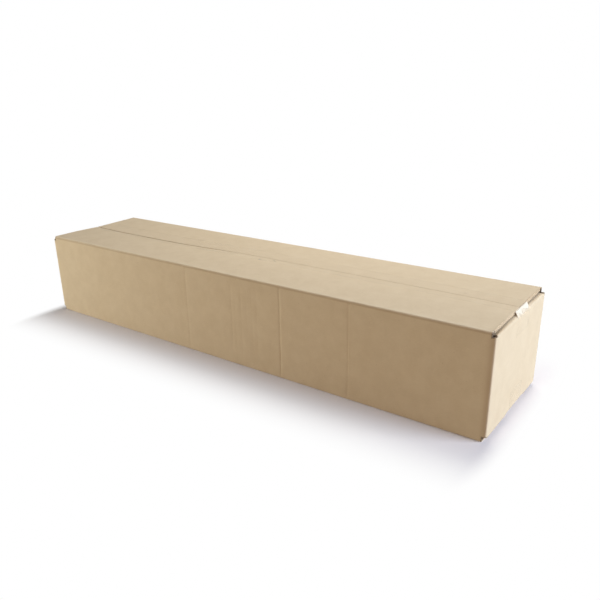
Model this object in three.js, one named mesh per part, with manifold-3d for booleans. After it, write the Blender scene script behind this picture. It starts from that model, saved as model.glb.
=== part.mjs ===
// Long double wall shipping carton, closed and taped, in millimetres.
// One scored and slotted sheet of board folds into four panels and eight flaps.
// The end flaps lie under the long flaps, which meet on a seam along the top and along the base.
// A strip of clear film seals each seam and runs a short way down both ends.
// X runs along the carton, the front panel faces -Y, and Z is up from the floor.

import * as THREE from 'three';
import { mergeVertices } from 'three/addons/utils/BufferGeometryUtils.js';
import Module from 'manifold-3d';

// Inside size
const insideLength = 901;
const insideWidth = 195;
const insideDepth = 136.8;

// Board and its scores
const boardThickness = 4.5;
const foldInnerRadius = 1;
const slotWidth = 7;
const slotRootDrop = 3.6;
const topFlapLift = 2.9;
const bottomFlapGap = 0.4;

// Seams between the long flaps
const seamOffset = 1.5;
const seamGap = 0.8;
const seamOpening = 1.8;
const openSeamLength = 400;
const seamCloseLength = 57;

// Droop of the top flaps at the seam, which the inner flap under them shares
const leftDroop = 4.2;
const leftEndDroop = 2.3;
const droopFlat = 225;
const droopFade = 230;
const rightEndDroop = 0.9;
const rightDroopFade = 120;

// Glued joint at the rear left corner
const glueTabWidth = 35;
const glueTabTaper = 12;
const jointInset = 1.5;

// Pressed creases across the front panel, by their distance from its right end
const frontCreases = [
  { fromRight: 335, width: 4.4, depth: 0.8 },
  { fromRight: 211, width: 4.4, depth: 0.65 },
  { fromRight: 537, width: 5, depth: 0.3 },
];

// Open channels between the liners along cut edges
const linerThickness = 0.4;
const outerFlute = 1.2;
const channelDepth = 0.8;

// Sealing film
const filmWidth = 48;
const filmThickness = 0.25;
const filmClearance = 0.25;
const filmTail = 37;
const topFilmOffset = 10;
const topFilmSkew = -0.01;
const bottomFilmOffset = 9;
const filmTrackMargin = 0.5;

// Steps of curved and drooping faces
const foldSegments = 6;
const lengthSteps = 26;
const innerFlapSteps = 6;

// How far a cutter runs past the face that it opens, and a flap into the panel that carries it
const cutOvershoot = 1;
const joinOverlap = 0.5;

// Sizes that follow from the ones above
const foldRadius = foldInnerRadius + boardThickness;
const length = insideLength + 2 * boardThickness;
const width = insideWidth + 2 * boardThickness;
const height = insideDepth + 4 * boardThickness + topFlapLift + bottomFlapGap;
const flapReach = width / 2;
const slotSetback = (boardThickness + slotWidth) / 2;
const endFoldTop = height - boardThickness - topFlapLift;
const endFoldBase = boardThickness + bottomFlapGap;
const postTop = height - boardThickness - slotRootDrop;
const postBase = boardThickness + slotRootDrop;
const filmOffset = filmClearance + filmThickness;

const wasm = await Module();
wasm.setup();

// A closed geometry as a solid for joining and cutting.
function solidOf(geometry) {
  const bare = geometry.index ? geometry.toNonIndexed() : geometry.clone();
  bare.deleteAttribute('normal');
  bare.deleteAttribute('uv');
  const merged = mergeVertices(bare, 1e-4);
  return new wasm.Manifold(new wasm.Mesh({
    numProp: 3,
    vertProperties: new Float32Array(merged.attributes.position.array),
    triVerts: new Uint32Array(merged.index.array),
  }));
}

function geometryOf(solid) {
  const mesh = solid.getMesh();
  const geometry = new THREE.BufferGeometry();
  geometry.setAttribute('position', new THREE.BufferAttribute(mesh.vertProperties, 3));
  geometry.setIndex(new THREE.BufferAttribute(mesh.triVerts, 1));
  geometry.computeVertexNormals();
  return geometry;
}

const joinAll = (solids) => solids.reduce((whole, solid) => whole.add(solid));
const cutAll = (whole, cutters) => cutters.reduce((left, cutter) => left.subtract(cutter), whole);

function extrude(shape, depth, steps = 1) {
  return new THREE.ExtrudeGeometry(shape, { depth, steps, bevelEnabled: false, curveSegments: foldSegments });
}

function boxBetween([x0, y0, z0], [x1, y1, z1]) {
  const box = new THREE.BoxGeometry(x1 - x0, y1 - y0, z1 - z0);
  return box.translate((x0 + x1) / 2, (y0 + y1) / 2, (z0 + z1) / 2);
}

// Turns a section drawn in Y and Z so that its extrusion runs along X.
const sectionAlongX = new THREE.Matrix4().makeBasis(
  new THREE.Vector3(0, 1, 0),
  new THREE.Vector3(0, 0, 1),
  new THREE.Vector3(1, 0, 0),
);

// Turns a section drawn in X and Z so that its extrusion runs along -Y.
const sectionAlongY = new THREE.Matrix4().makeBasis(
  new THREE.Vector3(1, 0, 0),
  new THREE.Vector3(0, 0, 1),
  new THREE.Vector3(0, -1, 0),
);

function ease(value) {
  const t = THREE.MathUtils.clamp(value, 0, 1);
  return t * t * (3 - 2 * t);
}

// How far the long top flaps have sunk at the seam, at a place along the carton.
function seamDroop(x) {
  const fromLeft = x + length / 2;
  const fromRight = length / 2 - x;
  const overInnerFlap = THREE.MathUtils.lerp(leftEndDroop, leftDroop, ease(fromLeft / flapReach));
  const left = overInnerFlap * (1 - ease((fromLeft - droopFlat) / droopFade));
  const right = rightEndDroop * (1 - ease(fromRight / rightDroopFade));
  return left + right;
}

// 0 at a long flap's fold and 1 at the seam.
function shareToSeam(y) {
  const fromFold = y < seamOffset ? y + width / 2 : width / 2 - y;
  const reach = y < seamOffset ? width / 2 + seamOffset : width / 2 - seamOffset;
  return THREE.MathUtils.clamp((fromFold - foldRadius) / (reach - foldRadius), 0, 1);
}

// The seam stands open over the drooping stretch at the left and closes past it.
function halfOpening(x) {
  const fromLeft = x + length / 2;
  const closed = ease((fromLeft - openSeamLength + seamCloseLength) / seamCloseLength);
  return (seamOpening / 2) * (1 - closed);
}

// Lets what lies on the top sink with the long flaps.
function sinkWithTop(geometry, spreadSeam = false) {
  const position = geometry.attributes.position;
  for (let i = 0; i < position.count; i += 1) {
    const x = position.getX(i);
    const y = position.getY(i);
    const share = shareToSeam(y);
    const side = y < seamOffset ? -1 : 1;
    position.setZ(i, position.getZ(i) - seamDroop(x) * share);
    if (spreadSeam) position.setY(i, y + side * halfOpening(x) * share);
  }
  return geometry;
}

// Each panel by the turn that brings the front panel's place to it.
const panels = {
  front: { turn: 0, distance: width / 2 },
  right: { turn: Math.PI / 2, distance: length / 2 },
  back: { turn: Math.PI, distance: width / 2 },
  left: { turn: -Math.PI / 2, distance: length / 2 },
};

// Moves a piece made at the front panel, with its flap at the top, to its own panel and end.
function place(geometry, panel, atBase) {
  if (atBase) geometry.rotateY(Math.PI).translate(0, 0, height);
  return geometry.translate(0, -panel.distance, 0).rotateZ(panel.turn);
}

// Section of a flap with its rounded fold and the strip of panel that carries it.
// Its faces are bare board as far as filmEdge, and lie under the film past it.
function flapSection(panelEnd, foldTop, reach, filmEdge) {
  const centre = foldTop - foldRadius;
  const section = new THREE.Shape();
  section.moveTo(0, panelEnd);
  section.lineTo(0, centre);
  section.absarc(foldRadius, centre, foldRadius, Math.PI, Math.PI / 2, true);
  if (filmEdge) section.lineTo(filmEdge, foldTop);
  section.lineTo(reach, foldTop);
  section.lineTo(reach, foldTop - boardThickness);
  section.lineTo(foldRadius, foldTop - boardThickness);
  section.absarc(foldRadius, centre, foldInnerRadius, Math.PI / 2, Math.PI, false);
  section.lineTo(boardThickness, panelEnd);
  section.closePath();
  return section;
}

// Channels along a flap's two slotted edges, between the liners.
function edgeChannels(from, to, foldTop, reach) {
  const levels = [
    [linerThickness, linerThickness + outerFlute],
    [2 * linerThickness + outerFlute, boardThickness - linerThickness],
  ];
  return [from, to].flatMap((end) => levels.map(([top, base]) => boxBetween(
    [end - channelDepth, foldRadius, foldTop - base],
    [end + channelDepth, reach + cutOvershoot, foldTop - top],
  )));
}

function makeFlap({ panel, atBase, from, to, panelEnd, foldTop, reach, filmEdge, steps, settle }) {
  const flap = extrude(flapSection(panelEnd, foldTop, reach, filmEdge), to - from, steps);
  flap.applyMatrix4(sectionAlongX).translate(from, 0, 0);
  const pieces = [flap, ...edgeChannels(from, to, foldTop, reach)].map((piece) => {
    const placed = place(piece, panel, atBase);
    return solidOf(settle ? settle(placed) : placed);
  });
  return cutAll(pieces[0], pieces.slice(1));
}

function makeLongFlaps() {
  const from = -length / 2 + slotSetback;
  const shared = { from, to: -from };
  const frontReach = flapReach + seamOffset - seamGap / 2;
  const backReach = flapReach - seamOffset - seamGap / 2;
  const settle = (geometry) => sinkWithTop(geometry, true);
  const filmReach = filmWidth / 2 + Math.abs(topFilmSkew) * length / 2 + filmTrackMargin;
  const frontFilmEdge = width / 2 + topFilmOffset - filmReach;
  const backFilmEdge = width / 2 - topFilmOffset - filmReach;
  const topEnd = postTop - joinOverlap;
  const baseEnd = height - postBase - joinOverlap;
  const top = { ...shared, panelEnd: topEnd, foldTop: height, steps: lengthSteps, settle };
  const base = { ...shared, panelEnd: baseEnd, foldTop: height, atBase: true };
  return [
    makeFlap({ ...top, panel: panels.front, reach: frontReach, filmEdge: frontFilmEdge }),
    makeFlap({ ...top, panel: panels.back, reach: backReach, filmEdge: backFilmEdge }),
    makeFlap({ ...base, panel: panels.front, reach: frontReach }),
    makeFlap({ ...base, panel: panels.back, reach: backReach }),
  ];
}

// The span of the end flaps, which is shorter beside the glued joint.
function endFlapSpan(panel) {
  const full = width / 2 - slotSetback;
  return panel === panels.left ? [-full + boardThickness, full] : [-full, full];
}

// The left top end flap sinks towards its free edge with the long flaps over it.
function sinkInnerFlap(geometry) {
  const position = geometry.attributes.position;
  for (let i = 0; i < position.count; i += 1) {
    const fromFold = position.getX(i) + length / 2 - foldRadius;
    const share = THREE.MathUtils.clamp(fromFold / (flapReach - foldRadius), 0, 1);
    position.setZ(i, position.getZ(i) - (leftDroop - leftEndDroop) * share);
  }
  return geometry;
}

function makeEndFlaps() {
  return [panels.left, panels.right].flatMap((panel) => {
    const [low, high] = endFlapSpan(panel);
    const below = foldRadius + joinOverlap;
    const baseFold = height - endFoldBase;
    const shared = { panel, reach: flapReach };
    const top = { ...shared, from: low, to: high, panelEnd: endFoldTop - below, foldTop: endFoldTop };
    const base = {
      ...shared,
      from: -high,
      to: -low,
      panelEnd: baseFold - below,
      foldTop: baseFold,
      atBase: true,
    };
    const settle = panel === panels.left ? sinkInnerFlap : undefined;
    return [makeFlap({ ...top, steps: innerFlapSteps, settle }), makeFlap(base)];
  });
}

// Plan of the folded wall, from the back panel's cut end round to the rear left corner.
function wallPlan() {
  const x = length / 2;
  const y = width / 2;
  const r = foldRadius;
  const t = boardThickness;
  const plan = new THREE.Shape();
  plan.moveTo(-x + jointInset, y);
  plan.lineTo(x - r, y);
  plan.absarc(x - r, y - r, r, Math.PI / 2, 0, true);
  plan.lineTo(x, -y + r);
  plan.absarc(x - r, -y + r, r, 0, -Math.PI / 2, true);
  plan.lineTo(-x + r, -y);
  plan.absarc(-x + r, -y + r, r, -Math.PI / 2, -Math.PI, true);
  plan.lineTo(-x, y - t - r);
  plan.lineTo(-x + t, y - t - r);
  plan.lineTo(-x + t, -y + r);
  plan.absarc(-x + r, -y + r, foldInnerRadius, Math.PI, 1.5 * Math.PI, false);
  plan.lineTo(x - r, -y + t);
  plan.absarc(x - r, -y + r, foldInnerRadius, -Math.PI / 2, 0, false);
  plan.lineTo(x - t, y - r);
  plan.absarc(x - r, y - r, foldInnerRadius, 0, Math.PI / 2, false);
  plan.lineTo(-x + jointInset, y - t);
  plan.closePath();
  return plan;
}

// The fold that turns the left end panel's edge in behind the back panel.
function jointElbow() {
  const plan = new THREE.Shape();
  const cx = -length / 2 + foldRadius;
  const cy = width / 2 - boardThickness - foldRadius;
  plan.moveTo(cx - foldRadius, cy - joinOverlap);
  plan.absarc(cx, cy, foldRadius, Math.PI, Math.PI / 2, true);
  plan.lineTo(cx + joinOverlap, cy + foldRadius);
  plan.lineTo(cx + joinOverlap, cy + foldInnerRadius);
  plan.absarc(cx, cy, foldInnerRadius, Math.PI / 2, Math.PI, false);
  plan.lineTo(cx - foldInnerRadius, cy - joinOverlap);
  plan.closePath();
  return solidOf(extrude(plan, postTop - postBase).translate(0, 0, postBase));
}

// The tab glued to the inside of the back panel, tapered at both ends.
function glueTab() {
  const x0 = -length / 2 + foldRadius;
  const x1 = x0 + glueTabWidth;
  const outline = new THREE.Shape();
  outline.moveTo(x0, postBase);
  outline.lineTo(x0 + joinOverlap, postBase);
  outline.lineTo(x1, postBase + glueTabTaper);
  outline.lineTo(x1, postTop - glueTabTaper);
  outline.lineTo(x0 + joinOverlap, postTop);
  outline.lineTo(x0, postTop);
  outline.closePath();
  const tab = extrude(outline, boardThickness + joinOverlap).applyMatrix4(sectionAlongY);
  return solidOf(tab.translate(0, width / 2 - boardThickness + joinOverlap, 0));
}

// The wall is cut down where the end panels fold over into their flaps.
function endFoldCuts() {
  return [panels.left, panels.right].flatMap((panel) => {
    const [low, high] = endFlapSpan(panel);
    const deep = boardThickness + cutOvershoot;
    const top = boxBetween([low, -cutOvershoot, endFoldTop - foldRadius], [high, deep, height]);
    const base = boxBetween([low, -cutOvershoot, 0], [high, deep, endFoldBase + foldRadius]);
    return [top, base].map((box) => solidOf(place(box, panel, false)));
  });
}

function frontCreaseCuts() {
  return frontCreases.map(({ fromRight, width: wide, depth }) => {
    const valley = new THREE.Shape();
    valley.moveTo(-wide / 2, 0);
    valley.quadraticCurveTo(0, 2 * depth, wide / 2, 0);
    valley.lineTo(wide / 2, -cutOvershoot);
    valley.lineTo(-wide / 2, -cutOvershoot);
    valley.closePath();
    const x = length / 2 - fromRight;
    return solidOf(extrude(valley, height).translate(x, -width / 2, 0));
  });
}

// One face of the film over the right end: off the flap, round the fold and down the end panel.
function filmEnd(offset, face, foldTop) {
  const flapEnd = length / 2 - slotSetback;
  const centre = new THREE.Vector2(length / 2 - foldRadius, foldTop - foldRadius);
  const radius = foldRadius + offset;
  const edge = new THREE.Vector2(flapEnd, face + offset);
  const toEdge = edge.clone().sub(centre);
  const tangent = Math.atan2(toEdge.y, toEdge.x) - Math.acos(radius / toEdge.length());
  const points = [edge];
  for (let i = 0; i <= foldSegments; i += 1) {
    const angle = tangent * (1 - i / foldSegments);
    points.push(new THREE.Vector2(centre.x + radius * Math.cos(angle), centre.y + radius * Math.sin(angle)));
  }
  points.push(new THREE.Vector2(length / 2 + offset, height - filmTail));
  return points;
}

// One face of the film from the foot of its left tail to the foot of its right one.
function filmFace(offset, face, foldTop) {
  const right = filmEnd(offset, face, foldTop);
  const left = right.map((point) => new THREE.Vector2(-point.x, point.y)).reverse();
  const flapEnd = length / 2 - slotSetback;
  const along = [];
  for (let i = 1; i < lengthSteps; i += 1) {
    along.push(new THREE.Vector2(THREE.MathUtils.lerp(-flapEnd, flapEnd, i / lengthSteps), face + offset));
  }
  return [...left, ...along, ...right];
}

// A strip of film swept along its two faces, one step of the sweep for each pair of their points.
function filmStrip(face, foldTop) {
  const faces = [filmFace(filmClearance, face, foldTop), filmFace(filmOffset, face, foldTop)];
  const steps = faces[0].length - 1;
  const half = filmWidth / 2;
  const across = [-half, 0, half];
  const section = new THREE.Shape([
    ...across.map((y) => new THREE.Vector2(y, 0)),
    ...across.map((y) => new THREE.Vector2(-y, 1)),
  ]);
  const strip = extrude(section, steps, steps);
  const position = strip.attributes.position;
  for (let i = 0; i < position.count; i += 1) {
    const point = faces[Math.round(position.getY(i))][Math.round(position.getZ(i))];
    position.setXYZ(i, point.x, position.getX(i), point.y);
  }
  return strip;
}

function makeTopFilm() {
  const film = filmStrip(height, endFoldTop);
  const position = film.attributes.position;
  const flapEnd = length / 2 - slotSetback;
  for (let i = 0; i < position.count; i += 1) {
    const x = position.getX(i);
    const y = position.getY(i) === 0 ? seamOffset : position.getY(i) + topFilmOffset + topFilmSkew * x;
    const onTop = ease((position.getZ(i) - endFoldTop) / (height - endFoldTop));
    const droop = seamDroop(THREE.MathUtils.clamp(x, -flapEnd, flapEnd)) * shareToSeam(y);
    position.setXYZ(i, x, y, position.getZ(i) - droop * onTop);
  }
  return solidOf(film);
}

// The base film lies flush in the flaps, which its pressure has dented by its own thickness.
function makeBottomFilm() {
  const film = filmStrip(height - filmOffset, height - endFoldBase);
  film.rotateX(Math.PI).translate(0, bottomFilmOffset, height);
  return solidOf(film);
}

function filmTrack() {
  const half = filmWidth / 2 + filmTrackMargin;
  return solidOf(boxBetween(
    [-length / 2, bottomFilmOffset - half, -cutOvershoot],
    [length / 2, bottomFilmOffset + half, filmOffset],
  ));
}

function makeCarton() {
  const wall = solidOf(extrude(wallPlan(), postTop - postBase).translate(0, 0, postBase));
  const openWall = cutAll(wall, endFoldCuts());
  const folded = joinAll([openWall, jointElbow(), glueTab(), ...makeEndFlaps(), ...makeLongFlaps()]);
  return cutAll(folded, [...frontCreaseCuts(), filmTrack()]);
}

function makeMesh(name, solid, look) {
  const mesh = new THREE.Mesh(geometryOf(solid), new THREE.MeshStandardMaterial(look));
  mesh.name = name;
  return mesh;
}

const kraftBoard = { color: 0xd2bc98, roughness: 0.85, metalness: 0 };
const clearFilm = { color: 0xf2e6cf, roughness: 0.15, metalness: 0 };

const carton = new THREE.Group();
carton.name = 'double_wall_carton';
carton.add(makeMesh('carton_blank', makeCarton(), kraftBoard));
carton.add(makeMesh('top_seal_tape', makeTopFilm(), clearFilm));
carton.add(makeMesh('bottom_seal_tape', makeBottomFilm(), clearFilm));

export default carton;
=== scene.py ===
"""Looks of the long double wall carton: kraft board, clear sealing film, floor, light and camera."""

import logging
import math
from dataclasses import dataclass, field
from enum import Enum

import bmesh
import bpy
import numpy as np
from mathutils import Matrix, Vector


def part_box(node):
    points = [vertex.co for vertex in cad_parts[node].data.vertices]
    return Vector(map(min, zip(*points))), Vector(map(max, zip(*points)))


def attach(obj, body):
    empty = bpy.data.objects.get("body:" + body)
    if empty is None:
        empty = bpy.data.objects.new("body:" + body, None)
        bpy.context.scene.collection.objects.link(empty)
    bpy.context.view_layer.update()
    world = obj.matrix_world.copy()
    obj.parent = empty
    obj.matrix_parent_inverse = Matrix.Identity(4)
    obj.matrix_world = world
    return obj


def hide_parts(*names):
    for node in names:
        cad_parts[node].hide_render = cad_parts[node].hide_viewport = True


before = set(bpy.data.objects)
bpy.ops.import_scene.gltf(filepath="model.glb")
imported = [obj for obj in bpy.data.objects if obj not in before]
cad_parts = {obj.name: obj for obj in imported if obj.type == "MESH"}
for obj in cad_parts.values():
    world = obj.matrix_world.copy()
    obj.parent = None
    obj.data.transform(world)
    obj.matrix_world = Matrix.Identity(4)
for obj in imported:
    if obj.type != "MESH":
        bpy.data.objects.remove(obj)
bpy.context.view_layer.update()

log = logging.getLogger("carton")

Colour = tuple[float, float, float, float]
Place = tuple[float, float, float]
Socket = bpy.types.NodeSocket

MM = 0.001
ROOT = "root"
WHITE = (1.0, 1.0, 1.0, 1.0)

# A cut plane takes corners nearer than this as lying on it
SNAP = 1e-7
# A panel faces an axis when its direction has more than this share of it
FACING = 0.9

# The display curve: its brightest value, its straight foot, and the power above it
BRIGHTEST = 255.0
TOE_END = 0.04045
TOE_SLOPE = 12.92
CURVE_LIFT = 0.055
CURVE_POWER = 2.4


class Axis(Enum):
    """A direction of the frame, by its unit vector."""

    X = (1.0, 0.0, 0.0)
    Y = (0.0, 1.0, 0.0)
    Z = (0.0, 0.0, 1.0)


def smooth_step(value: np.ndarray | float) -> np.ndarray:
    """Eases a value from 0 to 1 with level ends."""
    t = np.clip(value, 0.0, 1.0)
    return t * t * (3.0 - 2.0 * t)


def bell(distance: np.ndarray, half_width: float) -> np.ndarray:
    """A rounded hump of height 1 that ends at half_width."""
    return smooth_step(1.0 - np.abs(distance) / half_width)


def light(value: int) -> float:
    """One channel of a display colour as linear light.

    Args:
        value: the channel, from 0 to 255.

    Returns:
        The light, from 0 to 1.
    """
    share = value / BRIGHTEST
    if share <= TOE_END:
        return share / TOE_SLOPE
    return ((share + CURVE_LIFT) / (1.0 + CURVE_LIFT)) ** CURVE_POWER


def linear(red: int, green: int, blue: int) -> Colour:
    """A display colour, given by its three channels from 0 to 255, as linear light."""
    return light(red), light(green), light(blue), 1.0


@dataclass(frozen=True)
class Pattern:
    """A noise: how fine and rough it is, the band of it that shows, and how much it counts."""

    scale: float
    detail: float
    low: float = 0.0
    high: float = 1.0
    share: float = 1.0
    roughness: float = 0.5


@dataclass(frozen=True)
class Wave:
    """One swell: its height, its turns along X, Y and Z in radians a metre, and its start in radians."""

    height: float
    along: float
    across: float = 0.0
    up: float = 0.0
    start: float = 0.0

    def at(self, point: np.ndarray) -> np.ndarray:
        """The height of the swell at each place."""
        x, y, z = point.T
        return self.height * np.sin(self.along * x + self.across * y + self.up * z + self.start)


@dataclass
class NodeGraph:
    """The node tree of a material or world, with short calls that add and join its nodes."""

    owner: bpy.types.Material | bpy.types.World

    def __post_init__(self) -> None:
        """Empties the tree."""
        self.owner.use_nodes = True
        self.owner.node_tree.nodes.clear()

    def join(self, value: object, target: Socket) -> None:
        """Links an output to an input, or sets the input to a plain value.

        Args:
            value: an output socket, or the value itself.
            target: the input.
        """
        if isinstance(value, Socket):
            self.owner.node_tree.links.new(value, target)
        else:
            target.default_value = value

    def add(self, kind: str, inputs: dict | None = None, **settings: object) -> bpy.types.Node:
        """Adds a node.

        Args:
            kind: the node's type, without its ShaderNode prefix.
            inputs: values or output sockets for its inputs, by name or index.
            settings: the node's own properties.

        Returns:
            The new node.
        """
        node = self.owner.node_tree.nodes.new("ShaderNode" + kind)
        for key, value in settings.items():
            setattr(node, key, value)
        for key, value in (inputs or {}).items():
            self.join(value, node.inputs[key])
        return node

    def math(self, operation: str, first: object, second: object = 0.0) -> Socket:
        """The result of a sum on one or two values."""
        return self.add("Math", {0: first, 1: second}, operation=operation).outputs[0]

    def mix(self, share: object, first: object, second: object) -> Socket:
        """One colour mixed over another, by a share from 0 to 1."""
        inputs = {0: share, 6: first, 7: second}
        return self.add("Mix", inputs, data_type="RGBA").outputs[2]

    def attribute(self, name: str) -> Socket:
        """The value of a mesh attribute."""
        return self.add("Attribute", attribute_name=name).outputs["Fac"]

    def ramp(self, value: object, low: float, high: float) -> Socket:
        """The value spread from 0 at low to 1 at high, held past both."""
        inputs = {"Value": value, "From Min": low, "From Max": high}
        return self.add("MapRange", inputs, interpolation_type="SMOOTHSTEP").outputs[0]

    def noise(self, pattern: Pattern, place: Socket) -> Socket:
        """The plain noise of a pattern.

        Args:
            pattern: the pattern.
            place: where a point lies on the piece.

        Returns:
            The noise, around a half.
        """
        inputs = {
            "Vector": place,
            "Scale": pattern.scale,
            "Detail": pattern.detail,
            "Roughness": pattern.roughness,
        }
        return self.add("TexNoise", inputs).outputs["Fac"]

    def raised(self, pattern: Pattern, place: Socket) -> Socket:
        """The plain noise of a pattern, times its share."""
        return self.math("MULTIPLY", self.noise(pattern, place), pattern.share)

    def spots(self, pattern: Pattern, place: Socket) -> Socket:
        """The band of a pattern that shows, times its share."""
        band = self.ramp(self.noise(pattern, place), pattern.low, pattern.high)
        return self.math("MULTIPLY", band, pattern.share)

    def bump(self, height: Socket) -> Socket:
        """The direction of a surface with a fine relief, given in metres."""
        return self.add("Bump", {"Height": height, "Distance": 1.0, "Strength": 1.0}).outputs[0]

    def seen_directly(self) -> Socket:
        """What the camera sees, set apart from what lights the carton.

        Returns:
            1 for the camera, also in gloss or through film, and 0 for light that falls on the carton.
        """
        rays = self.add("LightPath").outputs
        mirrored = self.math("MAXIMUM", rays["Is Glossy Ray"], rays["Is Transmission Ray"])
        return self.math("MAXIMUM", rays["Is Camera Ray"], mirrored)


@dataclass(frozen=True)
class KraftFinish:
    """The board's outer liner: short fibres, mottling, the flutes showing through and worn folds, with
    painted shade by its folds, in its cut edges and in its corner holes.
    """

    liner: Colour = linear(219, 202, 176)
    shade: Colour = linear(212, 194, 167)
    fibre: Colour = linear(233, 217, 191)
    speck: Colour = linear(150, 118, 82)
    worn: Colour = linear(240, 228, 206)
    # painted shade by the folds of the front and at the end panel's foot
    painted_shade: Colour = linear(178, 150, 122)
    # the board's core, darkened by painted shade in the open channels and on the back flap's cut end
    core_and_shade: Colour = linear(176, 149, 116)
    # painted shade, near black, in the corner holes and under the end panel's foot
    hollow_shade: Colour = linear(66, 48, 34)
    mottle: Pattern = Pattern(38.0, 6.0, 0.25, 0.75, roughness=0.7)
    threads: Pattern = Pattern(1.0, 3.0, 0.52, 0.78, 0.25)
    thread_stretch: Place = (260.0, 900.0, 900.0)
    dirt: Pattern = Pattern(620.0, 2.0, 0.68, 0.8, 0.55)
    felt: Pattern = Pattern(90.0, 4.0, share=0.10 * MM, roughness=0.6)
    grain: Pattern = Pattern(1500.0, 2.0, share=0.012 * MM)
    flutes: tuple[tuple[float, float], ...] = ((6.8 * MM, 0.016 * MM), (3.4 * MM, 0.005 * MM))
    gloss: Pattern = Pattern(45.0, 3.0, 0.3, 0.7)
    smoothest: float = 0.78
    roughest: float = 0.94
    sheen: float = 0.3

    def colour(self, graph: NodeGraph, place: Socket) -> Socket:
        """The liner's colour with its mottling, fibres, specks and wear, the core of its cut edges, and
        painted shade by its folds, in its open channels and in its hollows.

        Args:
            graph: the board's node tree.
            place: where a point lies on the board.

        Returns:
            The colour.
        """
        colour = graph.mix(graph.spots(self.mottle, place), self.shade, self.liner)
        along = graph.add("Mapping", {"Vector": place, "Scale": self.thread_stretch}).outputs[0]
        colour = graph.mix(graph.spots(self.threads, along), colour, self.fibre)
        colour = graph.mix(graph.spots(self.dirt, place), colour, self.speck)
        # the shade beside and under the folds, in the open channels and in the corner holes is painted
        # into the colour here
        marks = {"fold_shade": self.painted_shade, "wear": self.worn, "core_and_shade": self.core_and_shade, "hollow_shade": self.hollow_shade}
        for name, tint in marks.items():
            colour = graph.mix(graph.attribute(name), colour, tint)
        return colour

    def height(self, graph: NodeGraph, place: Socket) -> Socket:
        """The liner's fine relief: the flutes under it, its felt and its fibres.

        Args:
            graph: the board's node tree.
            place: where a point lies on the board.

        Returns:
            The height in metres.
        """
        run = graph.attribute("board_run")
        waves = []
        for pitch, rise in self.flutes:
            phase = graph.math("MULTIPLY", run, 2.0 * math.pi / pitch)
            waves.append(graph.math("MULTIPLY", graph.math("SINE", phase), rise))
        paper = graph.math("ADD", graph.raised(self.felt, place), graph.raised(self.grain, place))
        return graph.math("ADD", graph.math("ADD", *waves), paper)

    def build(self) -> bpy.types.Material:
        """Makes the board's material.

        Returns:
            The material.
        """
        graph = NodeGraph(bpy.data.materials.new("kraft_board"))
        place = graph.add("TexCoord").outputs["Object"]
        spread = {
            "Value": graph.noise(self.gloss, place),
            "From Min": self.gloss.low,
            "From Max": self.gloss.high,
            "To Min": self.smoothest,
            "To Max": self.roughest,
        }
        board = {
            "Base Color": self.colour(graph, place),
            "Roughness": graph.add("MapRange", spread).outputs[0],
            "Normal": graph.bump(self.height(graph, place)),
            "Specular IOR Level": self.sheen,
        }
        graph.add("OutputMaterial", {"Surface": graph.add("BsdfPrincipled", board).outputs[0]})
        return graph.owner


@dataclass(frozen=True)
class FilmFinish:
    """Clear glossy sealing film: faint where it sticks, with a painted highlight where it bridges the
    board and painted shade at its puckers.
    """

    stuck: Colour = linear(240, 226, 202)
    # painted highlight of the film
    painted_glint: Colour = linear(250, 240, 224)
    # painted shade of the film's puckers
    dent_shade: Colour = linear(70, 48, 28)
    ripple: Pattern = Pattern(120.0, 3.0, share=0.12 * MM)
    stuck_cover: float = 0.02
    glint_cover: float = 0.80
    dent_shade_cover: float = 0.96
    roughness: float = 0.22
    refraction: float = 1.5
    sheen: float = 0.9

    def build(self) -> bpy.types.Material:
        """Makes the film's material.

        Returns:
            The material.
        """
        graph = NodeGraph(bpy.data.materials.new("clear_film"))
        place = graph.add("TexCoord").outputs["Object"]
        # painted highlight, near white and nearly opaque, where the film bridges the board and along its
        # edges
        lift = graph.attribute("painted_glint")
        # painted shade, dark brown and nearly opaque, at the film's puckers
        dent_shade = graph.attribute("dent_shade")
        spread = {"Value": lift, "To Min": self.stuck_cover, "To Max": self.glint_cover}
        cover = graph.add("MapRange", spread).outputs[0]
        film = {
            "Base Color": graph.mix(dent_shade, graph.mix(lift, self.stuck, self.painted_glint), self.dent_shade),
            "Roughness": self.roughness,
            "IOR": self.refraction,
            "Specular IOR Level": self.sheen,
            "Alpha": graph.math("MAXIMUM", cover, graph.math("MULTIPLY", dent_shade, self.dent_shade_cover)),
            "Normal": graph.bump(graph.raised(self.ripple, place)),
        }
        graph.add("OutputMaterial", {"Surface": graph.add("BsdfPrincipled", film).outputs[0]})
        return graph.owner


@dataclass(frozen=True)
class Crease:
    """A line pressed across the front panel by a hand or a strap, by its place along X in metres."""

    x: float
    half_width: float
    depth: float


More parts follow.
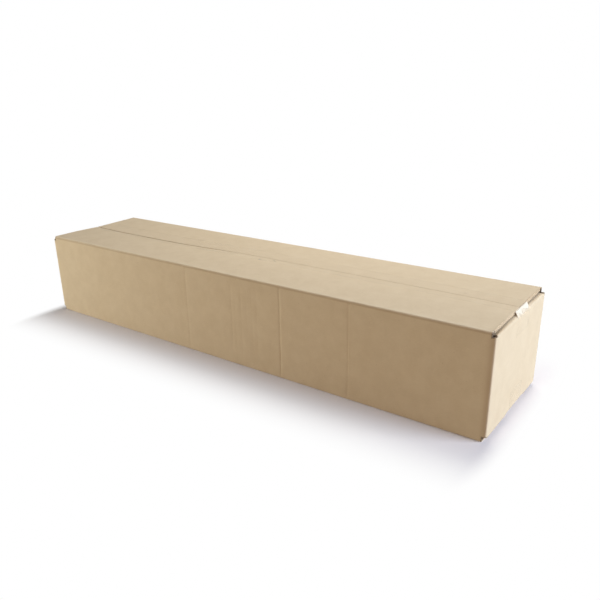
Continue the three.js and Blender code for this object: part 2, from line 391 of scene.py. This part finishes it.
@dataclass
class Relief:
    """How the board departs from flat: bowed panels and pressed creases."""

    half_length: float
    half_width: float
    top: float
    bow: float = 0.7 * MM
    bow_swell: float = 0.55
    bow_set: float = 0.45
    flat_margin: float = 6.0 * MM
    flat_fade: float = 34.0 * MM
    crease_margin: float = 8.0 * MM
    crease_fade: float = 20.0 * MM
    waves: tuple[Wave, ...] = (
        Wave(0.5, 9.0, start=1.2),
        Wave(0.3, 17.0, 23.0, start=0.4),
        Wave(0.2, 31.0, up=40.0),
    )
    creases: tuple[Crease, ...] = (
        Crease(-0.0329, 0.0016, 0.00014),
        Crease(-0.0252, 0.0014, 0.00011),
        Crease(0.0207, 0.0018, 0.00024),
        Crease(0.0285, 0.0013, 0.00014),
        Crease(0.0415, 0.0017, 0.00024),
        Crease(0.0532, 0.0013, 0.00014),
        Crease(0.0639, 0.0015, 0.00017),
        Crease(0.0742, 0.0015, 0.00013),
        Crease(0.2471, 0.0014, 0.00014),
        Crease(0.2518, 0.0014, 0.00009),
        Crease(0.1309, 0.0014, 0.00011),
    )

    def away_from_folds(self, point: np.ndarray, axes: tuple[int, int]) -> np.ndarray:
        """How far the panels are free to bow, so that they still meet at their folds.

        Args:
            point: places, one row each.
            axes: the two axes that a panel lies along, by number.

        Returns:
            A share for each place, 0 at the panel's folds and 1 away from them.
        """
        reach = (self.half_length, self.half_width, self.top / 2)
        middle = (0.0, 0.0, self.top / 2)
        share = np.ones(len(point))
        for axis in axes:
            inside = reach[axis] - np.abs(point[:, axis] - middle[axis])
            share *= smooth_step((inside - self.flat_margin) / self.flat_fade)
        return share

    def offset(self, point: np.ndarray, normal: np.ndarray) -> np.ndarray:
        """How far each point of the board moves along its own normal.

        Args:
            point: places, one row each.
            normal: the outward directions of the panels at those places.

        Returns:
            One distance for each place, in metres, below 0 towards the inside.
        """
        x, _, z = point.T
        slow = sum(wave.at(point) for wave in self.waves)
        move = np.zeros(len(point))
        for axis in range(3):
            facing = np.abs(normal[:, axis]) > FACING
            others = tuple(a for a in range(3) if a != axis)
            share = self.away_from_folds(point, others)
            move = np.where(facing, self.bow * (self.bow_swell * slow - self.bow_set) * share, move)
        front = normal[:, 1] < -FACING
        upright = smooth_step((z - self.crease_margin) / self.crease_fade)
        upright *= smooth_step((self.top - self.crease_margin - z) / self.crease_fade)
        for crease in self.creases:
            pressed = crease.depth * bell(x - crease.x, crease.half_width) * upright
            move -= np.where(front, pressed, 0.0)
        return move


@dataclass
class PanelGrid:
    """Cuts a merged copy of a CAD node into a fine, even grid, so that it can be shaped."""

    source: bpy.types.Object
    name: str
    merge: float = 0.005 * MM
    flat_angle: float = math.radians(0.2)

    def start(self) -> bmesh.types.BMesh:
        """Copies the node's mesh, merges it and joins its flat triangles.

        Returns:
            The mesh to cut.
        """
        mesh = bmesh.new()
        mesh.from_mesh(self.source.data)
        bmesh.ops.remove_doubles(mesh, verts=mesh.verts, dist=self.merge)
        bmesh.ops.dissolve_limit(mesh, angle_limit=self.flat_angle, verts=mesh.verts, edges=mesh.edges)
        return mesh

    def slice(self, mesh: bmesh.types.BMesh, axis: Axis, places: np.ndarray) -> None:
        """Cuts the mesh with planes square to an axis."""
        for place in places:
            cut(mesh, Vector(axis.value) * float(place), Vector(axis.value))

    def finish(self, mesh: bmesh.types.BMesh) -> bpy.types.Object:
        """Makes an object of the cut mesh and links it to the scene.

        Args:
            mesh: the mesh, which is freed.

        Returns:
            The object.
        """
        bmesh.ops.triangulate(mesh, faces=[f for f in mesh.faces if len(f.verts) > 4])
        data = bpy.data.meshes.new(self.name)
        mesh.to_mesh(data)
        mesh.free()
        return link(bpy.data.objects.new(self.name, data))


def cut(mesh: bmesh.types.BMesh, place: Vector, across: Vector) -> None:
    """Cuts a whole mesh with the plane through a place, square to a direction."""
    everything = [*mesh.verts, *mesh.edges, *mesh.faces]
    bmesh.ops.bisect_plane(mesh, geom=everything, dist=SNAP, plane_co=place, plane_no=across)


def link(thing: bpy.types.Object) -> bpy.types.Object:
    """The same object, now in the scene."""
    bpy.context.scene.collection.objects.link(thing)
    return thing


def places_of(mesh: bmesh.types.BMesh) -> np.ndarray:
    """All the corners of a mesh, one row each."""
    return np.array([v.co[:] for v in mesh.verts])


def store(piece: bpy.types.Object, name: str, values: np.ndarray) -> None:
    """Keeps one number for each corner of a piece as an attribute."""
    layer = piece.data.attributes.new(name, "FLOAT", "POINT")
    layer.data.foreach_set("value", values.astype(np.float32))


def corners(piece: bpy.types.Object) -> np.ndarray:
    """Reads the corners of a finished piece.

    Args:
        piece: the piece.

    Returns:
        The corners, one row each.
    """
    flat = np.zeros(len(piece.data.vertices) * 3, np.float32)
    piece.data.vertices.foreach_get("co", flat)
    return flat.reshape(-1, 3).astype(float)


def smooth_by_angle(piece: bpy.types.Object, degrees: float) -> None:
    """Shades a piece smoothly apart from edges sharper than an angle."""
    piece.data.shade_smooth()
    piece.data.set_sharp_from_angle(angle=math.radians(degrees))


@dataclass(frozen=True)
class Handling:
    """Where the board is rubbed pale, and where shade is painted by its folds: reaches in metres, and
    shares from 0 to 1.
    """

    rub_width: float = 3.2 * MM
    rub_depth: float = 2.2 * MM
    rub_share: float = 0.3
    rub_least: float = 0.6
    patches: tuple[Wave, Wave] = (Wave(1.0, 410.0, 130.0), Wave(1.0, 60.0, 270.0, 390.0))
    rim_place: float = 2.8 * MM
    rim_width: float = 3.0 * MM
    rim_depth: float = 0.7 * MM
    rim_share: float = 0.35
    front_skin: float = 1.2 * MM
    side_place: float = 3.0 * MM
    side_fade: float = 9.0 * MM
    side_share: float = 0.45
    under_place: float = 3.0 * MM
    under_width: float = 2.4 * MM
    under_share: float = 0.5
    foot_depth: float = 3.5 * MM
    foot_rise: float = 2.6 * MM
    foot_side: float = 14.0 * MM
    foot_share: float = 0.6


@dataclass(frozen=True)
class CutEdges:
    """Where the board's core shows with painted shade in its cut edges, and where shade is painted dark
    in its corner holes and under the end panel's foot: reaches in metres, and shares from 0 to 1.
    """

    slack: float = 0.05 * MM
    back_start: float = 1.0 * MM
    channel_share: float = 0.45
    back_share: float = 0.5
    corner_size: float = 9.0 * MM
    edge_drop: float = 0.4 * MM
    edge_share: float = 0.75
    wall: float = 1.2 * MM
    hole_foot: float = 16.0 * MM
    hole_top: float = 1.0 * MM
    post_share: float = 0.6
    foot_depth: float = 3.0 * MM
    foot_rise: float = 1.2 * MM
    foot_side: float = 16.0 * MM
    foot_end: float = 7.0 * MM
    foot_share: float = 0.75


@dataclass
class CartonShell:
    """The folded blank: four panels and eight flaps of double wall board."""

    board: float = 4.5 * MM
    fold_radius: float = 5.5 * MM
    fold_power: float = 4.0
    round_slack: float = 0.2 * MM
    hair: float = 0.01 * MM
    slot_setback: float = 5.75 * MM
    end_fold_drop: float = 7.4 * MM
    end_fold_rise: float = 4.9 * MM
    post_drop: float = 8.1 * MM
    channel_depth: float = 0.8 * MM
    shown_channel_depth: float = 0.3 * MM
    channel_slack: float = 0.03 * MM
    film_line: float = 10.0 * MM
    film_clear: float = 30.0 * MM
    film_fade: float = 8.0 * MM
    front_sag: float = 1.9 * MM
    sag_end: float = 8.0 * MM
    sag_depth: float = 60.0 * MM
    sag_foot: float = 40.0 * MM
    sag_rise: float = 35.0 * MM
    pressed_places: tuple[float, float] = (0.120, 0.244)
    pressed_half_width: float = 2.4 * MM
    pressed_deepest: float = 1.0 * MM
    pressed_share: float = 0.5
    face_depth: float = 0.6
    face_turn: float = 0.95
    grid_step: float = 10.0 * MM
    edge_lines: tuple[float, ...] = (7.4 * MM, 9.5 * MM, 12.5 * MM, 16.0 * MM)
    edge_band: float = 18.0 * MM
    crease_lines: tuple[float, ...] = (-1.0, -0.5, 0.0, 0.5, 1.0)
    smooth_angle: float = 28.0
    handling: Handling = Handling()
    edges: CutEdges = CutEdges()
    low: Vector = field(init=False)
    high: Vector = field(init=False)
    relief: Relief = field(init=False)
    piece: bpy.types.Object = field(init=False)
    level: np.ndarray = field(init=False)

    def __post_init__(self) -> None:
        """Takes the carton's reach from the frame."""
        self.low, self.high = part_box("carton_blank")
        self.relief = Relief(self.high.x, self.high.y, self.high.z)

    def lines(self, low: float, high: float) -> np.ndarray:
        """Where the grid's lines lie between two ends, with closer ones near them.

        Args:
            low: one end, in metres.
            high: the other end.

        Returns:
            The places, without the ends themselves.
        """
        count = max(2, round((high - low) / self.grid_step))
        even = np.linspace(low, high, count + 1)[1:-1]
        near = [low + line for line in self.edge_lines]
        far = [high - line for line in self.edge_lines]
        inner = even[(even > low + self.edge_band) & (even < high - self.edge_band)]
        return np.array([*near, *inner, *far])

    def shape(self, mesh: bmesh.types.BMesh) -> None:
        """Moves the board by its relief, tightens its folds and lets its front top fold sag.

        Args:
            mesh: the carton's cut mesh.
        """
        mesh.normal_update()
        for vertex in mesh.verts:
            vertex.normal_update()
        points = places_of(mesh)
        normals = np.array([self.panel_normal(v) for v in mesh.verts])
        moved = self.relief.offset(points, normals)
        for vertex, direction, distance in zip(mesh.verts, normals, moved):
            vertex.co += Vector(direction) * float(distance)
        for vertex in mesh.verts:
            self.tighten_folds(vertex.co)
            self.ease_creases(vertex.co)
            self.close_channels(vertex.co)
        self.level = places_of(mesh)
        for vertex in mesh.verts:
            vertex.co.z -= self.front_sag * self.sag_share(vertex.co)

    def sag_share(self, place: Vector) -> float:
        """How much of the front fold's sag a corner takes.

        Args:
            place: the corner.

        Returns:
            A share from 0 to 1.
        """
        along = smooth_step((self.high.x - abs(place.x)) / self.sag_end)
        across = smooth_step(1.0 - (place.y + self.high.y) / self.sag_depth)
        up = smooth_step((place.z - self.high.z + self.sag_foot) / self.sag_rise)
        return float(along * across * up)

    def tighten_folds(self, place: Vector) -> None:
        """Presses the round folds to the tighter turn of a scored line.

        Args:
            place: a corner of the mesh, which is moved.
        """
        middle = self.high.z / 2
        out_x = abs(place.x) - self.high.x + self.fold_radius
        out_y = abs(place.y) - self.high.y + self.fold_radius
        out_z = abs(place.z - middle) - middle + self.fold_radius
        drop = self.end_fold_drop if place.z > middle else self.end_fold_rise
        if abs(place.x) < self.high.x - self.slot_setback + self.hair:
            grow = self.growth(out_y, out_z)
            place.y += math.copysign(out_y * grow, place.y)
            place.z += math.copysign(out_z * grow, place.z - middle)
            return
        grow = self.growth(out_x, out_y)
        place.x += math.copysign(out_x * grow, place.x)
        place.y += math.copysign(out_y * grow, place.y)
        if grow == 0.0:
            bare = smooth_step((abs(place.y - self.film_line) - self.film_clear) / self.film_fade)
            grow = self.growth(out_x, out_z + drop) * float(bare)
            place.x += math.copysign(out_x * grow, place.x)
            place.z += math.copysign((out_z + drop) * grow, place.z - middle)

    def growth(self, first: float, second: float) -> float:
        """How much further out a corner of a round fold lies on the tighter turn.

        Args:
            first: the corner's distance from the fold's centre along one axis, in metres.
            second: its distance along the other axis.

        Returns:
            The growth as a share of both distances, 0 off the fold.
        """
        if first <= 0.0 or second <= 0.0:
            return 0.0
        reach = math.hypot(first, second)
        if abs(reach - self.fold_radius) > self.round_slack:
            return 0.0
        power = self.fold_power
        return reach / (first**power + second**power) ** (1.0 / power) - 1.0

    def ease_creases(self, place: Vector) -> None:
        """Makes the pressed creases of the front panel shallower, as they show through the liner.

        Args:
            place: a corner of the mesh, which is moved.
        """
        depth = place.y + self.high.y
        off = min(abs(place.x - crease) for crease in self.pressed_places)
        if self.hair < depth < self.pressed_deepest and off < self.pressed_half_width:
            place.y = -self.high.y + self.pressed_share * depth

    def close_channels(self, place: Vector) -> None:
        """Brings the floor of the open channels near the cut edge, where the knife has pinched them.

        Args:
            place: a corner of the mesh, which is moved.
        """
        floor = self.high.x - self.slot_setback - self.channel_depth
        if abs(abs(place.x) - floor) < self.channel_slack:
            shown = self.high.x - self.slot_setback - self.shown_channel_depth
            place.x = math.copysign(shown, place.x)

    def panel_normal(self, vertex: bmesh.types.BMVert) -> Place:
        """Finds the panel that a corner of the outer face belongs to.

        Args:
            vertex: the corner.

        Returns:
            The panel's outward direction, or zeros for a corner of none.
        """
        x, y, _ = vertex.co
        skin = self.face_depth * self.board
        if abs(y) > self.high.y - skin and abs(vertex.normal.y) > self.face_turn:
            return (0.0, math.copysign(1.0, y), 0.0)
        if abs(x) > self.high.x - skin and abs(vertex.normal.x) > self.face_turn:
            return (math.copysign(1.0, x), 0.0, 0.0)
        return (0.0, 0.0, 0.0)

    def mark_run(self) -> None:
        """Stores how far along the board each corner is, for the flutes."""
        x, y, _ = self.level.T
        end = np.abs(x) > self.high.x - self.fold_radius
        store(self.piece, "board_run", np.where(end, np.sign(x) * (self.high.x + self.high.y) + y, x))

    def mark_wear(self) -> None:
        """Stores where the folds are rubbed pale, and a pale band along the top just behind its front
        fold.
        """
        marks = self.handling
        x, y, z = self.level.T
        middle = self.high.z / 2
        out = np.stack([self.high.x - np.abs(x), self.high.y - np.abs(y), middle - np.abs(z - middle)])
        nearest = np.sort(out, axis=0)
        fold = smooth_step(1.0 - nearest[1] / marks.rub_width) * (nearest[0] < marks.rub_depth)
        one, other = marks.patches
        patchy = 0.5 + 0.5 * one.at(self.level) * other.at(self.level)
        rubbed = marks.rub_share * fold * (marks.rub_least + (1.0 - marks.rub_least) * patchy)
        # a pale band along the top, just behind the front fold
        rim = bell(y + self.high.y - marks.rim_place, marks.rim_width)
        rim *= z > self.high.z - marks.rim_depth
        store(self.piece, "wear", np.maximum(rubbed, marks.rim_share * rim))

    def mark_fold_shade(self) -> None:
        """Stores the painted shade on the front beside its right fold and under its top fold, and at the
        end panel's foot.
        """
        marks = self.handling
        x, y, z = self.level.T
        on_front = y < -self.high.y + marks.front_skin
        # painted shade where the front turns from the light beside its right fold and just under its top
        # fold, and at the end panel's foot
        beside = smooth_step(1.0 - (self.high.x - x - marks.side_place) / marks.side_fade) * on_front
        under = bell(self.high.z - z - marks.under_place, marks.under_width) * on_front
        foot = (x > self.high.x - marks.foot_depth) & (z < self.end_fold_rise + marks.foot_rise)
        foot &= y < -marks.foot_side
        dark = [marks.side_share * beside, marks.under_share * under, marks.foot_share * foot]
        store(self.piece, "fold_shade", np.maximum.reduce(dark))

    def mark_core_and_shade(self) -> None:
        """Stores where the cut edges are darkened: the board's core with painted shade on the floor of
        their open channels, and painted shade on the back flap's cut end.
        """
        marks = self.edges
        x, y = np.abs(self.level[:, 0]), self.level[:, 1]
        flap_end = self.high.x - self.slot_setback
        inside = np.abs(x - flap_end + self.shown_channel_depth) < marks.slack
        behind = (np.abs(x - flap_end) < marks.slack) & (y > marks.back_start)
        core_and_shade = np.where(inside, marks.channel_share, np.where(behind, marks.back_share, 0.0))
        store(self.piece, "core_and_shade", core_and_shade)

    def mark_hollow_shade(self) -> None:
        """Stores the painted shade of the corner holes and under the end panel's foot."""
        marks = self.edges
        point = self.level
        x, y = np.abs(point[:, 0]), np.abs(point[:, 1])
        middle = self.high.z / 2
        out = np.abs(point[:, 2] - middle) - middle
        corner = np.hypot(x - self.high.x + self.fold_radius, y - self.high.y + self.fold_radius)
        near = (x > self.high.x - marks.corner_size) & (y > self.high.y - marks.corner_size)
        edge = np.abs(x - self.high.x + self.slot_setback) < marks.slack
        edge &= (y > self.high.y - self.fold_radius) & (out < -marks.edge_drop)
        deep = near & (corner < self.fold_radius - marks.wall)
        deep &= (out > -marks.hole_foot) & (out < -marks.hole_top)
        post = near & (np.abs(out + self.post_drop) < marks.slack)
        foot = point[:, 0] > self.high.x - marks.foot_depth
        foot &= point[:, 2] < self.end_fold_rise + marks.foot_rise
        foot &= (point[:, 1] < -marks.foot_side) & (point[:, 1] > -self.high.y + marks.foot_end)
        dark = [1.0 * deep, marks.edge_share * edge, marks.post_share * post, marks.foot_share * foot]
        store(self.piece, "hollow_shade", np.maximum.reduce(dark))

    def build(self, material: bpy.types.Material) -> bpy.types.Object:
        """The finished carton, in place of its CAD node.

        Args:
            material: the board's material.

        Returns:
            The piece, riding on the carton's one body.
        """
        grid = PanelGrid(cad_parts["carton_blank"], "kraft_carton")
        mesh = grid.start()
        grid.slice(mesh, Axis.X, self.lines(self.low.x, self.high.x))
        pressed = [c.x + c.half_width * line for c in self.relief.creases for line in self.crease_lines]
        grid.slice(mesh, Axis.X, np.array(pressed))
        grid.slice(mesh, Axis.Y, self.lines(self.low.y, self.high.y))
        grid.slice(mesh, Axis.Z, self.lines(self.low.z, self.high.z))
        self.shape(mesh)
        self.piece = grid.finish(mesh)
        smooth_by_angle(self.piece, self.smooth_angle)
        for mark in (self.mark_run, self.mark_wear, self.mark_fold_shade, self.mark_core_and_shade, self.mark_hollow_shade):
            mark()
        self.piece.data.materials.append(material)
        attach(self.piece, ROOT)
        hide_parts("carton_blank")
        return self.piece


@dataclass(frozen=True)
class Wrinkle:
    """A small pucker in the film, only painted: a dark spot of painted shade with a painted highlight
    beside it.
    """

    x: float
    y: float
    dark: float
    pale: float
    squeeze: float = 1.6
    dent_slant: float = 0.5
    dent_reach: float = 2.6 * MM
    facet_place: float = 2.6 * MM
    facet_slant: float = 0.6
    facet_reach: float = 2.4 * MM

    def dent_shade(self, x: np.ndarray, y: np.ndarray) -> np.ndarray:
        """How dark the painted shade of the pucker is.

        Args:
            x: the places along the carton, in metres.
            y: the places across it.

        Returns:
            A share for each place.
        """
        along, off = x - self.x, y - self.y
        away = np.hypot(along, self.squeeze * off - self.dent_slant * along)
        return self.dark * bell(away, self.dent_reach)

    def facet_highlight(self, x: np.ndarray, y: np.ndarray) -> np.ndarray:
        """How bright the painted highlight beside the pucker is.

        Args:
            x: the places along the carton, in metres.
            y: the places across it.

        Returns:
            A share for each place.
        """
        along, off = x - self.x, y - self.y
        side = np.hypot(along - self.facet_place, self.squeeze * off + self.facet_slant * along)
        return self.pale * bell(side, self.facet_reach)


TOP_WRINKLES = (
    Wrinkle(-0.0100, -0.0199, 0.45, 0.3),
    Wrinkle(0.0097, -0.0130, 1.0, 0.6),
    Wrinkle(0.0353, -0.0052, 0.55, 0.5),
    Wrinkle(0.3685, 0.0122, 0.4, 0.1),
)


@dataclass
class SealingFilm:
    """A strip of clear film over a seam, with a tail at each end."""

    node: str
    name: str
    relief: Relief
    centre: float
    skew: float = 0.0
    width: float = 48.0 * MM
    step: float = 6.0 * MM
    rim: float = 0.5 * MM
    rim_glint: float = 0.10
    rim_slack: float = 0.2 * MM
    tail_slack: float = 0.05 * MM
    bridge: tuple[float, float] | None = None
    bridge_glint: float = 0.97
    bridge_fades: tuple[float, float] = (0.6 * MM, 0.8 * MM)
    wrinkles: tuple[Wrinkle, ...] = ()
    wrinkle_lines: tuple[float, ...] = (-3.2, -2.2, -1.4, -0.7, 0.0, 0.7, 1.4, 2.2, 3.2)
    smooth_angle: float = 35.0

    def build(self, material: bpy.types.Material) -> bpy.types.Object:
        """The finished strip, in place of its CAD node.

        Args:
            material: the film's material.

        Returns:
            The piece, riding on the carton's one body.
        """
        low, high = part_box(self.node)
        grid = PanelGrid(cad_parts[self.node], self.name)
        mesh = grid.start()
        around = np.array(self.wrinkle_lines) * MM
        close_x = [w.x + d for w in self.wrinkles for d in around]
        close_y = [w.y + d for w in self.wrinkles for d in around]
        grid.slice(mesh, Axis.X, np.array([*np.arange(low.x + self.step, high.x, self.step), *close_x]))
        grid.slice(mesh, Axis.Y, np.array([*np.arange(low.y + self.step, high.y, self.step), *close_y]))
        self.slice_rims(mesh)
        self.follow_panels(mesh)
        piece = grid.finish(mesh)
        smooth_by_angle(piece, self.smooth_angle)
        self.mark(piece)
        piece.data.materials.append(material)
        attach(piece, ROOT)
        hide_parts(self.node)
        return piece

    def slice_rims(self, mesh: bmesh.types.BMesh) -> None:
        """Cuts a narrow band along both long edges of the strip.

        Args:
            mesh: the strip's mesh.
        """
        across = Vector((-self.skew, 1.0, 0.0)).normalized()
        for side in (-1.0, 1.0):
            cut(mesh, Vector((0.0, self.centre + side * (self.width / 2 - self.rim), 0.0)), across)

    def follow_panels(self, mesh: bmesh.types.BMesh) -> None:
        """Moves the tails in with the bowed end panels that they stick to.

        Args:
            mesh: the strip's mesh.
        """
        points = places_of(mesh)
        tail = np.abs(points[:, 0]) > self.relief.half_length - self.tail_slack
        outward = np.zeros_like(points)
        outward[tail, 0] = np.sign(points[tail, 0])
        moved = self.relief.offset(points, outward)
        for vertex, direction, distance in zip(mesh.verts, outward, moved):
            vertex.co += Vector(direction) * float(distance)

    def mark(self, piece: bpy.types.Object) -> None:
        """Stores the painted highlight where the film bridges the board, along its edges and beside its
        puckers, and the painted shade of its puckers.

        Args:
            piece: the strip's finished piece.
        """
        x, y, _ = corners(piece).T
        painted_glint = np.zeros(len(x))
        dent_shade = np.zeros(len(x))
        # painted highlight where the film bridges the gap between the flap's end and the end panel
        if self.bridge:
            start, end = self.bridge
            rise, fall = self.bridge_fades
            painted_glint = self.bridge_glint * smooth_step((x - start) / rise) * smooth_step((end - x) / fall)
        across = np.abs(y - self.centre - self.skew * x)
        painted_glint = np.maximum(painted_glint, self.rim_glint * (across > self.width / 2 - self.rim_slack))
        for wrinkle in self.wrinkles:
            dent_shade = np.maximum(dent_shade, wrinkle.dent_shade(x, y))
            painted_glint = np.maximum(painted_glint, wrinkle.facet_highlight(x, y))
        store(piece, "painted_glint", np.clip(painted_glint, 0.0, 1.0))
        store(piece, "dent_shade", np.clip(dent_shade, 0.0, 1.0))


@dataclass(frozen=True)
class PhotoCamera:
    """The camera that took the picture, from a fit to the carton's edges in a square frame."""

    position: Place = (0.6730, -0.8031, 0.4502)
    look: Place = (-0.5522, 0.7528, -0.3582)
    right: Place = (0.8095, 0.5869, -0.0144)
    frame_px: float = 600.0
    focal_px: float = 622.2
    centre_px: tuple[float, float] = (299.7, 315.0)
    sensor_mm: float = 36.0
    nearest: float = 0.01

    def build(self) -> bpy.types.Object:
        """Makes the scene's camera.

        Returns:
            The camera.
        """
        data = bpy.data.cameras.new("photo_camera")
        data.sensor_width = self.sensor_mm
        data.lens = self.focal_px / self.frame_px * self.sensor_mm
        data.shift_x = (self.frame_px / 2 - self.centre_px[0]) / self.frame_px
        data.shift_y = (self.centre_px[1] - self.frame_px / 2) / self.frame_px
        data.clip_start = self.nearest
        look = Vector(self.look).normalized()
        right = Vector(self.right)
        right = (right - look * right.dot(look)).normalized()
        up = right.cross(look)
        turn = Matrix((right, up, -look)).transposed().to_4x4()
        camera = link(bpy.data.objects.new("photo_camera", data))
        camera.matrix_world = Matrix.Translation(self.position) @ turn
        bpy.context.scene.camera = camera
        return camera


@dataclass(frozen=True)
class StudioFloor:
    """A plain white floor that shows only the carton's soft shadow."""

    half_size: float = 6.0
    colour: Colour = linear(236, 232, 238)
    bounce: Colour = linear(194, 182, 160)
    glow: float = 0.10
    footprint: Place = (0.452, 0.099, 0.0)
    end_fade: Place = (4.0, 1.0, 0.0)
    fade_start: float = 0.0
    fade_end: float = 0.135

    def build(self) -> bpy.types.Object:
        """Makes the floor.

        Returns:
            The floor.
        """
        mesh = bmesh.new()
        bmesh.ops.create_grid(mesh, x_segments=1, y_segments=1, size=self.half_size)
        data = bpy.data.meshes.new("floor")
        mesh.to_mesh(data)
        mesh.free()
        floor = link(bpy.data.objects.new("floor", data))
        floor.data.materials.append(self.finish())
        return floor

    def fade(self, graph: NodeGraph) -> Socket:
        """How far the floor has faded to white, by the distance from the carton's footprint.

        Args:
            graph: the floor's node tree.

        Returns:
            A share, 0 at the carton and 1 away from it.
        """
        place = graph.add("TexCoord").outputs["Object"]
        mirrored = graph.add("VectorMath", {0: place}, operation="ABSOLUTE").outputs[0]
        past = graph.add("VectorMath", {0: mirrored, 1: self.footprint}, operation="SUBTRACT").outputs[0]
        outside = graph.add("VectorMath", {0: past, 1: (0.0, 0.0, 0.0)}, operation="MAXIMUM").outputs[0]
        scaled = graph.add("VectorMath", {0: outside, 1: self.end_fade}, operation="MULTIPLY").outputs[0]
        far = graph.add("VectorMath", {0: scaled}, operation="LENGTH").outputs["Value"]
        return graph.ramp(far, self.fade_start, self.fade_end)

    def finish(self) -> bpy.types.Material:
        """The floor's material: white to the camera, with the carton's shadow near it.

        Returns:
            The material.
        """
        graph = NodeGraph(bpy.data.materials.new("floor_white"))
        base = graph.add("BsdfDiffuse", {"Color": self.colour})
        lift = graph.add("Emission", {"Strength": self.glow})
        lit = graph.add("AddShader", {0: base.outputs[0], 1: lift.outputs[0]})
        white = graph.add("Emission", {"Strength": 1.0})
        seen = graph.add("MixShader", {0: self.fade(graph), 1: lit.outputs[0], 2: white.outputs[0]})
        bounce = graph.add("BsdfDiffuse", {"Color": self.bounce})
        direct = graph.seen_directly()
        shown = graph.add("MixShader", {0: direct, 1: bounce.outputs[0], 2: seen.outputs[0]})
        graph.add("OutputMaterial", {"Surface": shown.outputs[0]})
        return graph.owner


@dataclass(frozen=True)
class Lamp:
    """One soft rectangular lamp that faces the carton."""

    name: str
    place: Place
    size: float
    power: float
    colour: Place = (1.0, 1.0, 1.0)
    target: Place = (0.0, 0.0, 0.08)

    def build(self) -> bpy.types.Object:
        """Makes the lamp in its place.

        Returns:
            The lamp.
        """
        data = bpy.data.lights.new(self.name, "AREA")
        data.shape = "SQUARE"
        data.size = self.size
        data.energy = self.power
        data.color = self.colour
        lamp = link(bpy.data.objects.new(self.name, data))
        turn = (Vector(self.target) - Vector(self.place)).to_track_quat("-Z", "Y")
        lamp.matrix_world = Matrix.Translation(self.place) @ turn.to_matrix().to_4x4()
        return lamp


@dataclass(frozen=True)
class Studio:
    """Soft light from the right and above, with a weak fill on the front, before a white backdrop."""

    lamps: tuple[Lamp, ...] = (
        Lamp("key_right", (3.2, 0.5, 1.3), 2.0, 143.0, (0.8, 0.88, 1.0)),
        Lamp("sky_above", (0.06, 0.6, 1.15), 0.8, 9.9, (1.0, 0.94, 0.8)),
        Lamp("fill_left", (-1.7, -1.2, 0.16), 0.4, 27.0, (0.97, 1.0, 0.9), (-0.5, 0.0, 0.08)),
        Lamp("fill_front", (0.6, -3.2, 1.0), 2.0, 13.3, (1.0, 0.46, 0.16)),
    )
    ambient: float = 0.01

    def build(self) -> None:
        """Makes the lamps and the world, white to the camera and dim to the carton."""
        for lamp in self.lamps:
            lamp.build()
        graph = NodeGraph(bpy.data.worlds.new("studio"))
        dim = graph.add("Background", {"Color": WHITE, "Strength": self.ambient})
        white = graph.add("Background", {"Color": WHITE, "Strength": 1.0})
        direct = graph.seen_directly()
        shown = graph.add("MixShader", {0: direct, 1: dim.outputs[0], 2: white.outputs[0]})
        graph.add("OutputWorld", {"Surface": shown.outputs[0]})
        bpy.context.scene.world = graph.owner
        bpy.context.scene.view_settings.view_transform = "Standard"


def main() -> None:
    """Builds the camera, the stage and each piece in order, and reports them."""
    logging.basicConfig(level=logging.INFO, format="%(name)s: %(message)s")
    PhotoCamera().build()
    StudioFloor().build()
    Studio().build()
    kraft = KraftFinish().build()
    film = FilmFinish().build()
    shell = CartonShell()
    top = SealingFilm(
        "top_seal_tape",
        "top_film",
        shell.relief,
        centre=shell.film_line,
        skew=-0.01,
        bridge=(0.4493, 0.4549),
        wrinkles=TOP_WRINKLES,
    )
    base = SealingFilm("bottom_seal_tape", "base_film", shell.relief, centre=9.0 * MM)
    pieces = [shell.build(kraft), top.build(film), base.build(film)]
    for piece in pieces:
        log.info("%s: %d faces", piece.name, len(piece.data.polygons))


if __name__ == "__main__":
    main()
